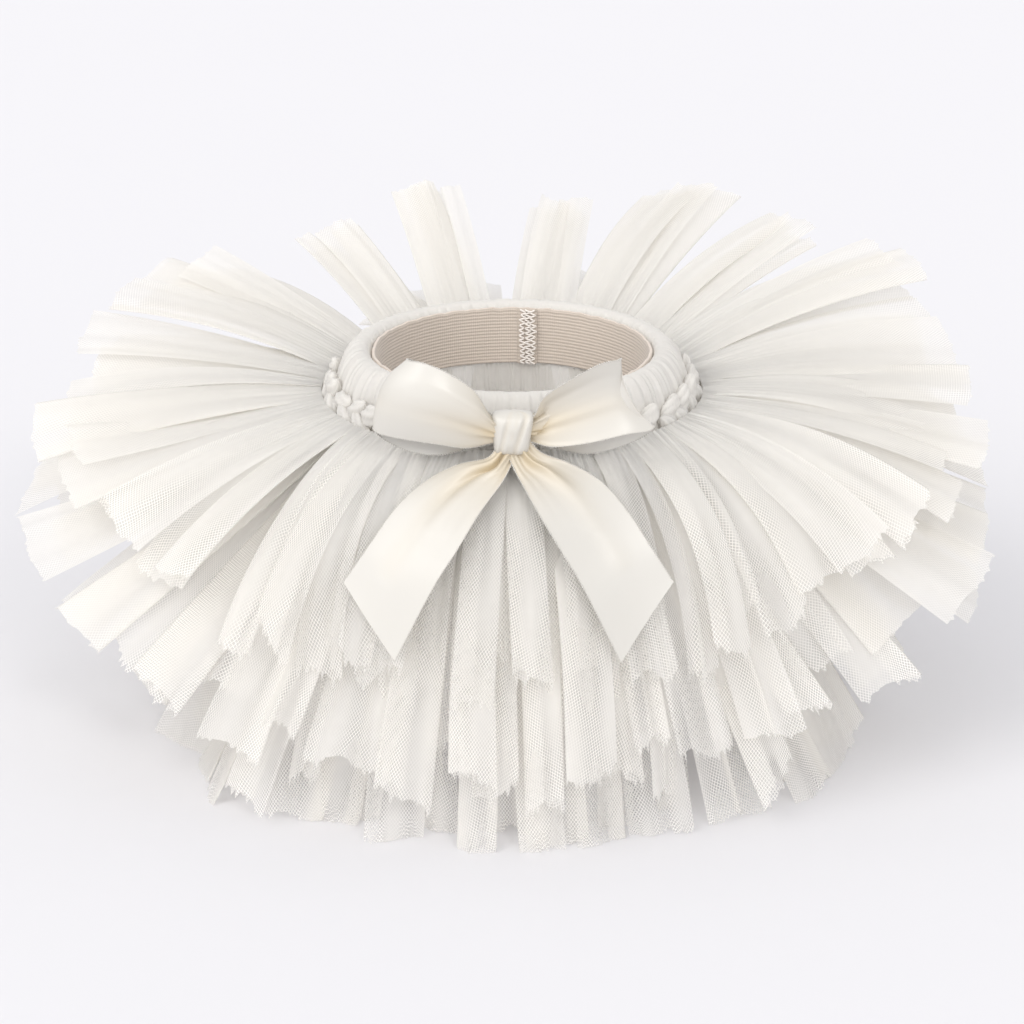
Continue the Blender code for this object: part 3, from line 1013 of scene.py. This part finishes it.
def fold_section(fold, half_width, depth, columns):
    """Points across a tail's fold at its tip, in metres, evenly spaced in the cloth and
    with softened creases."""
    creases = np.array(FOLDS[fold]) * (half_width, depth)
    run = run_lengths(creases)
    places = np.linspace(0, run[-1], columns)
    points = read_line(creases, run, places)
    padded = np.vstack([points[:1], points, points[-1:]])
    return 0.25 * padded[:-2] + 0.5 * points + 0.25 * padded[2:]


def cut_line(place, across, fray, ragged, rng):
    """How far past a tail's tip the cut runs at each column: slanted and spiky, the
    more so the more ragged it is (0 to 1)."""
    count = len(place)
    slanted = 0.28 * ragged * rng.normal() * across
    bowed = 2.2 * ragged * MM * np.sin(math.tau * (1.4 * place + rng.random()))
    spiky = np.where(rng.random(count) < 0.3, rng.uniform(0.5, 2.2, count), 0.0)
    return slanted + bowed + fray * ragged * (spiky + 0.35 * rng.random(count))


def add_tail(sheet, tier, strip, tail, tips, settings, rng):
    """Adds one folded tail of tulle to a sheet, and gives its flat width and length."""
    rows, columns = 17, 34
    rests = strip["tip_height"] == 0
    rising = float(np.clip((strip["lift"] - RISE_START) / RISE_SPAN, 0, 1))
    offset = tail["across"] * (1 - 0.4 * rising)
    turn = math.degrees(offset * strip["width"] / strip["reach"])
    reach, tip_height, lift, slope = tips(strip["azimuth"] + turn)
    spread = (0.5 + strip["width"] / 60.0) * (1 - 0.5 * rising)
    side = float(np.clip((abs(strip["azimuth"]) - SIDE_START) / SIDE_SPAN, 0, 1))
    if rests:
        reach, tip_height, lift = strip["reach"] + 3.0, 0.6, strip["lift"]
    else:
        tip_height += tail["higher"] * spread * (1.7 - 0.7 * side) + 2.0 * rng.normal()
    reach += tail["further"] * spread + 2.0 * rng.normal()
    drop = math.degrees(math.atan2(tip_height - tier["height"], reach - tier["radius"]))
    lift = lift + (drop - lift) * 0.45 * side + 2.0 * rng.normal()
    curve = tail_curve(tier, reach, max(tip_height, 0.6), lift)
    length = run_lengths(curve(np.linspace(0, 1, rows))[0])[-1]
    wider = 0.9 + 0.4 * side - 0.2 * rising + 0.12 * rng.normal()
    half_tip = 0.5 * strip["width"] * tail["width"] * wider * MM
    half_root = 0.5 * tier["root_width"] * (1 + 0.15 * rising) * MM
    section = fold_section(tail["fold"], half_tip, tier["tip_depth"] * MM, columns)
    flat_run = run_lengths(section)
    place = flat_run / flat_run[-1]
    shares = section / (half_tip, tier["tip_depth"] * MM)

    down = np.linspace(0, 1, rows)[:, None]
    past = cut_line(place, section[:, 0], settings.fray, 1 - 0.65 * side, rng)
    t = down * (1 + past / length * down**6)
    centre, normal = curve(t)
    half = half_root + (half_tip - half_root) * t**0.8
    depth = (tier["root_depth"] + (tier["tip_depth"] - tier["root_depth"]) * t**0.7) * MM
    across = shares[:, 0] * half
    raised = (shares[:, 1] - 0.65) * depth
    for crests, depths in (
        (9, settings.gather_depth * np.exp(-6.0 * t)),
        (14, 0.7 * settings.gather_depth * np.exp(-8.0 * t)),
        (2.3, settings.crease_depth * t),
        (3.7, 0.6 * settings.crease_depth * t),
    ):
        wave = np.sin(math.tau * (crests * (1 + 0.1 * rng.normal()) * place + rng.random()))
        raised = raised + wave * depths
    raised = raised + (2.6 - 1.2 * side) * MM * rng.normal() * np.sin(math.pi * np.clip(t, 0, 1))
    tilt = math.radians(1.1 * slope + strip["tilt"] + (13.0 - 6.0 * side) * rng.normal()) * t**0.7
    raised = raised + across * np.sin(tilt) - tail["under"] * MM * t
    radius = centre[..., 0] + normal[..., 0] * raised
    level = centre[..., 1] + normal[..., 1] * raised
    level = np.maximum(level, FLOOR_GAP + 0.3 * MM * np.sin(place * 40) ** 2)
    aside = offset * (strip["width"] * t + ROOT_SPREAD * (1 - t)) * MM
    aside = aside + (3.5 - 1.5 * side) * MM * rng.normal() * t**1.5
    azimuth = math.radians(strip["azimuth"]) + (aside + across * np.cos(tilt)) / centre[..., 0]

    bias = NET_SLANT * rng.normal()
    wide, long = flat_run, t * length
    cloth = joined(
        wide * math.cos(bias) - long * math.sin(bias),
        wide * math.sin(bias) + long * math.cos(bias),
    )
    cloud = np.sin(math.tau * (1.1 * place + 0.8 * t + rng.random()))
    cloud = cloud * np.sin(math.tau * (0.9 * t - 0.6 * place + rng.random()))
    haze_and_shade = settings.haze + (SIDE_HAZE - settings.haze) * side
    haze_and_shade = haze_and_shade + 0.5 * (1 - 0.8 * side) * (cloud + 0.35 * rng.random()) - 0.2 * t**2
    # The haze mark also paints shade: near the waist where the strips bunch, along the fold edges
    # and round the sides, the net is painted darker
    creased = np.clip((np.abs(shares[:, 0]) - 0.9) * 10, 0, 1)
    bunched = np.clip(1.7 * np.exp(-4.5 * t), 0, 1)
    for more in (0.3 * creased, bunched):
        haze_and_shade = haze_and_shade + (1 - haze_and_shade) * more
    sheet.add(around(radius, azimuth, level), cloth, np.clip(haze_and_shade, 0.05, 1.0))
    return flat_run[-1], length


def build_tier(name, settings):
    """The strips of one tier, each in place of its node."""
    tier = dict(zip(TIER_COLUMNS, TIERS[name]))
    tips = envelope(name)
    material = tulle_material(f"tulle_{name}", settings)
    for number, row in enumerate(STRIPS[name], start=1):
        strip = dict(zip(STRIP_COLUMNS, row))
        rng = np.random.default_rng([len(name), number])
        sheet = Sheet()
        for tail_row in TAIL_SETS[number % len(TAIL_SETS)]:
            tail = dict(zip(TAIL_COLUMNS, tail_row))
            add_tail(sheet, tier, strip, tail, tips, settings, rng)
        place = f"{name}_{number:02d}"
        piece = sheet.make(f"net_{place}", material, [f"tulle_{place}"])


def front_radius(height):
    """Radius of the construction's front strip at each height, which the tails lie over."""
    strip = dict(zip(STRIP_COLUMNS, STRIPS["top"][0]))
    curve = tail_curve(FRONT_STRIP_ROOT, strip["reach"], strip["tip_height"], strip["lift"])
    middle, _ = curve(np.linspace(0, 1, 60))
    return np.interp(-np.asarray(height), -middle[:, 1], middle[:, 0])


def picots(sheet, edge, settings, rng):
    """Adds a row of tiny stitched loops along a ribbon's edge to a sheet."""
    run = run_lengths(edge)
    places = np.arange(0.5 * settings.picot_pitch, run[-1], settings.picot_pitch)
    polar = np.linspace(0.15, math.pi - 0.15, 5)[:, None]
    turn = full_turn(6)
    ball = joined(np.sin(polar) * np.cos(turn), np.sin(polar) * np.sin(turn), np.cos(polar))
    cloth = joined(turn * MM, polar * MM)
    for centre in read_line(edge, run, places):
        size = settings.picot_size * (1 + 0.12 * rng.normal())
        sheet.add(centre + ball * size, cloth, closed=True)


def ribbon_sheet(rows, settings, crown, valley, seed):
    """A ribbon's grid from its stations of (one edge, other edge), bowed by crown, with
    pleats where it is drawn together and a valley that runs out from there; its flat
    cloth; how deep in a fold each point lies, which sets the satin's painted shade there;
    and its length."""
    stations = np.array(rows)
    count, columns = 100, 27
    top, bottom = smooth_path(stations[:, 0], count), smooth_path(stations[:, 1], count)
    across = np.linspace(0, 1, columns)
    grid = top[:, None] + (bottom - top)[:, None] * across[:, None]
    along = np.gradient((top + bottom) / 2, axis=0)
    normal = np.cross(along, bottom - top)
    normal /= np.linalg.norm(normal, axis=1)[:, None]
    wide = np.linalg.norm(bottom - top, axis=1)
    drawn = np.clip(1.35 - wide / settings.ribbon_width * 1.35, 0, 1)[:, None]
    rng = np.random.default_rng(seed)
    raised = crown * np.sin(math.pi * across) * np.ones_like(drawn)
    for crests, weight in RIBBON_PLEATS:
        pleat = np.sin(math.tau * (crests * across + rng.random()))
        raised = raised + 1.2 * MM * weight * pleat * drawn * np.sin(math.pi * across) ** 0.5
    for middle, spread, weight in ((valley, 0.13, -1.0), (valley - 0.3, 0.13, 0.5)):
        trough = np.exp(-(((across - middle) / spread) ** 2))
        raised = raised + 4.2 * MM * weight * trough * drawn**0.8 * (1 - drawn) ** 0.4
    grid = grid + normal[:, None] * raised[..., None]
    # How deep in a fold each point lies, near the knot and along the valley: this paints the
    # satin's shade
    depth = 0.75 * drawn**1.1 + 0.6 * np.exp(-(((across - valley) / 0.16) ** 2)) * drawn**0.6
    run = run_lengths((top + bottom) / 2)
    cloth = joined(across * settings.ribbon_width, run[:, None])
    return grid, cloth, np.clip(depth, 0, 1), run[-1]


def bow_point(x, forward, height):
    """A point of the bow, from millimetres out of the waist's axis."""
    return np.array([AXIS.x + x * MM, AXIS.y - forward * MM, height * MM])


def draped_point(x, height, lift):
    """A point of a ribbon tail, which lies over the front of the skirt."""
    radius = front_radius(height * MM) + RIBBON_CLEARANCE + lift * MM
    return around(radius, math.asin(x * MM / radius), height * MM)


def build_bow(settings):
    """Loops, tails, knot and edging of the ribbon bow."""
    finishes = (
        satin_material("ribbon_satin", settings),
        thread_material("ribbon_edging", scaled(settings.colour, 0.97)),
    )
    rng = np.random.default_rng(41)
    for side, rows in LOOPS.items():
        stations = [
            [bow_point(top_x, forward, top_z), bow_point(bottom_x, forward, bottom_z)]
            for top_x, top_z, bottom_x, bottom_z, forward in rows
        ]
        ribbon = ribbon_sheet(stations, settings, 5.0 * MM, 0.6, 42)
        ribbon_pieces(f"bow_loop_{side}", *ribbon, finishes, settings, rng)
    for side, rows in RIBBON_TAILS.items():
        stations = [
            [draped_point(outer_x, outer_z, lift), draped_point(inner_x, inner_z, lift)]
            for outer_x, outer_z, inner_x, inner_z, lift in rows
        ]
        ribbon = ribbon_sheet(stations, settings, 1.2 * MM, 0.4, 43)
        ribbon_pieces(f"bow_tail_{side}", *ribbon, finishes, settings, rng)
    build_bow_knot(finishes[0])


def ribbon_pieces(name, grid, cloth, depth, length, finishes, settings, rng):
    """A stretch of ribbon in place of its node, and the loops along its edges."""
    satin, edging = finishes
    sheet = Sheet()
    sheet.add(grid, cloth, depth)
    ribbon = sheet.make(f"{name}_ribbon", satin, [name])
    edges = Sheet()
    for edge in (0, -1):
        picots(edges, grid[:, edge], settings, rng)
    picot = edges.make(f"{name}_picots", edging)


def build_bow_knot(satin):
    """The ribbon wrapped over the middle of the bow: a flattened band with pleats along
    it, a little narrower at the bottom."""
    low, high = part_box("bow_knot")
    middle, half = (low + high) / 2, (high - low) / 2
    rows, columns = 36, 72
    polar = np.linspace(-0.5, 0.5, rows)[:, None] * math.pi
    turn = full_turn(columns)
    level = np.sin(polar)
    closing = np.ones_like(polar)
    closing[[0, -1]] = 0.02
    wide = np.maximum(1 - level**10, 0.05) ** 0.3 * closing
    thick = np.maximum(1 - level**4, 0.02) ** 0.5 * closing
    x = np.sign(np.cos(turn)) * np.abs(np.cos(turn)) ** 0.7
    y = np.sign(np.sin(turn)) * np.abs(np.sin(turn)) ** 0.6
    taper = 0.94 + 0.12 * level
    pleats = np.zeros_like(x * level)
    for place, spread, depth in KNOT_PLEATS:
        slanted = place + 0.3 * level
        pleats = pleats + depth * np.exp(-(((x - slanted) / spread) ** 2))
    points = joined(
        middle.x + half.x * wide * x * taper + 0.4 * MM * level,
        middle.y + half.y * thick * y * (1 - pleats),
        middle.z + half.z * level,
    )
    run = np.linspace(0, 2 * half.z, rows)
    cloth = joined(turn * half.x, run[:, None])
    sheet = Sheet()
    # The mark paints shade into the knot's pleats
    sheet.add(points, cloth, 0.05 + 1.2 * pleats, closed=True)
    knot = sheet.make("bow_knot_wrap", satin, ["bow_knot"])


def build_stage(settings):
    """Floor, soft light and the camera."""
    nodes = Nodes("floor_paper")
    coordinates = nodes.add("ShaderNodeTexCoord")
    grain = nodes.noise(coordinates.outputs["Object"], 3.0)
    colour = nodes.tint(
        grain, scaled(settings.floor_colour, 0.99), scaled(settings.floor_colour, 1.0)
    )
    paper = nodes.add("ShaderNodeBsdfPrincipled", Base_Color=colour, Roughness=0.95)
    paper.inputs["Specular IOR Level"].default_value = 0.1
    reach = FLOOR_SIDE / 2
    corners = [(-reach, -reach, 0), (reach, -reach, 0), (reach, reach, 0), (-reach, reach, 0)]
    mesh = bpy.data.meshes.new("floor")
    mesh.from_pydata(corners, [], [(0, 1, 2, 3)])
    mesh.materials.append(nodes.finish(paper))
    floor = add_object("floor", mesh)

    world = bpy.data.worlds.new("studio")
    bpy.context.scene.world = world
    world.use_nodes = True
    surround = world.node_tree.nodes["Background"]
    surround.inputs["Color"].default_value = (0.98, 0.98, 1.0, 1.0)
    surround.inputs["Strength"].default_value = settings.surround

    add_light("key", (-1.2, -0.95, 1.35), 40.0, settings.key_strength, (1.0, 0.985, 0.96))
    add_light("shine", (0.6, -1.5, 1.05), 12.0, settings.shine_strength, (1.0, 0.99, 0.97))
    add_light("front", (-0.25, -1.6, 0.5), 80.0, settings.front_strength, (1.0, 0.985, 0.965))

    camera = bpy.data.cameras.new("camera")
    camera.lens = settings.lens
    camera.sensor_width = 36.0
    camera.clip_start, camera.clip_end = 0.05, 50.0
    view = add_object("camera", camera)
    view.location = (AXIS.x, AXIS.y - CAMERA_DISTANCE, CAMERA_HEIGHT)
    view.rotation_euler = (math.radians(90 - CAMERA_TILT), 0.0, 0.0)
    bpy.context.scene.camera = view
    bpy.context.scene.view_settings.view_transform = "Standard"
    cycles = bpy.context.scene.cycles
    cycles.max_bounces = 6
    cycles.diffuse_bounces = 4
    cycles.transmission_bounces = 5
    cycles.transparent_max_bounces = 6


def add_light(name, place, spread, strength, colour):
    """A soft light from far away in the direction of a place, spread over an angle."""
    lamp = bpy.data.lights.new(name, "SUN")
    lamp.angle = math.radians(spread)
    lamp.energy = strength
    lamp.color = colour
    light = add_object(name, lamp)
    light.location = place
    light.rotation_euler = (-Vector(place)).to_track_quat("-Z", "Y").to_euler()


class TUTU_OT_waistband(bpy.types.Operator):
    """Builds the ribbed elastic waistband and its lapped seam"""

    bl_idname = "tutu.waistband"
    bl_label = "Waistband"

    def execute(self, context):
        build_waistband(context.scene.tutu_band)
        return {"FINISHED"}


class TUTU_OT_cover(bpy.types.Operator):
    """Builds the tulle cover that is gathered over the elastic"""

    bl_idname = "tutu.cover"
    bl_label = "Gathered Cover"

    def execute(self, context):
        build_cover(context.scene.tutu_band, context.scene.tutu_tulle)
        return {"FINISHED"}


class TUTU_OT_knots(bpy.types.Operator):
    """Builds the ring of knots that hold the strips"""

    bl_idname = "tutu.knots"
    bl_label = "Knots"

    def execute(self, context):
        build_knots(context.scene.tutu_band, context.scene.tutu_tulle)
        return {"FINISHED"}


class TUTU_OT_strips(bpy.types.Operator):
    """Builds the tulle strips of the three tiers"""

    bl_idname = "tutu.strips"
    bl_label = "Tulle Strips"

    def execute(self, context):
        for name in TIERS:
            build_tier(name, context.scene.tutu_tulle)
        return {"FINISHED"}


class TUTU_OT_bow(bpy.types.Operator):
    """Builds the ribbon bow"""

    bl_idname = "tutu.bow"
    bl_label = "Ribbon Bow"

    def execute(self, context):
        build_bow(context.scene.tutu_bow)
        return {"FINISHED"}


class TUTU_OT_stage(bpy.types.Operator):
    """Sets up the floor, the lights and the camera"""

    bl_idname = "tutu.stage"
    bl_label = "Stage"

    def execute(self, context):
        build_stage(context.scene.tutu_stage)
        return {"FINISHED"}


class TUTU_PT_panel(bpy.types.Panel):
    """The tutu's operators and settings"""

    bl_idname = "TUTU_PT_panel"
    bl_label = "Ballet Tutu"
    bl_space_type = "VIEW_3D"
    bl_region_type = "UI"
    bl_category = "Tutu"

    def draw(self, context):
        for operator in OPERATORS:
            self.layout.operator(operator.bl_idname)
        for group in SETTINGS:
            box = self.layout.box()
            settings = getattr(context.scene, group)
            for name in settings.__annotations__:
                box.prop(settings, name)


SETTINGS = {
    "tutu_tulle": TutuTulleSettings,
    "tutu_band": TutuBandSettings,
    "tutu_bow": TutuBowSettings,
    "tutu_stage": TutuStageSettings,
}
OPERATORS = (
    TUTU_OT_waistband,
    TUTU_OT_cover,
    TUTU_OT_knots,
    TUTU_OT_strips,
    TUTU_OT_bow,
    TUTU_OT_stage,
)


def register():
    for kind in (*SETTINGS.values(), *OPERATORS, TUTU_PT_panel):
        bpy.utils.register_class(kind)
    for name, kind in SETTINGS.items():
        setattr(bpy.types.Scene, name, bpy.props.PointerProperty(type=kind))


def unregister():
    for name in SETTINGS:
        delattr(bpy.types.Scene, name)
    for kind in (TUTU_PT_panel, *OPERATORS[::-1], *list(SETTINGS.values())[::-1]):
        bpy.utils.unregister_class(kind)


def main():
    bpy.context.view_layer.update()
    register()
    bpy.ops.tutu.waistband()
    bpy.ops.tutu.cover()
    bpy.ops.tutu.knots()
    bpy.ops.tutu.strips()
    bpy.ops.tutu.bow()
    bpy.ops.tutu.stage()


if __name__ == "__main__":
    main()
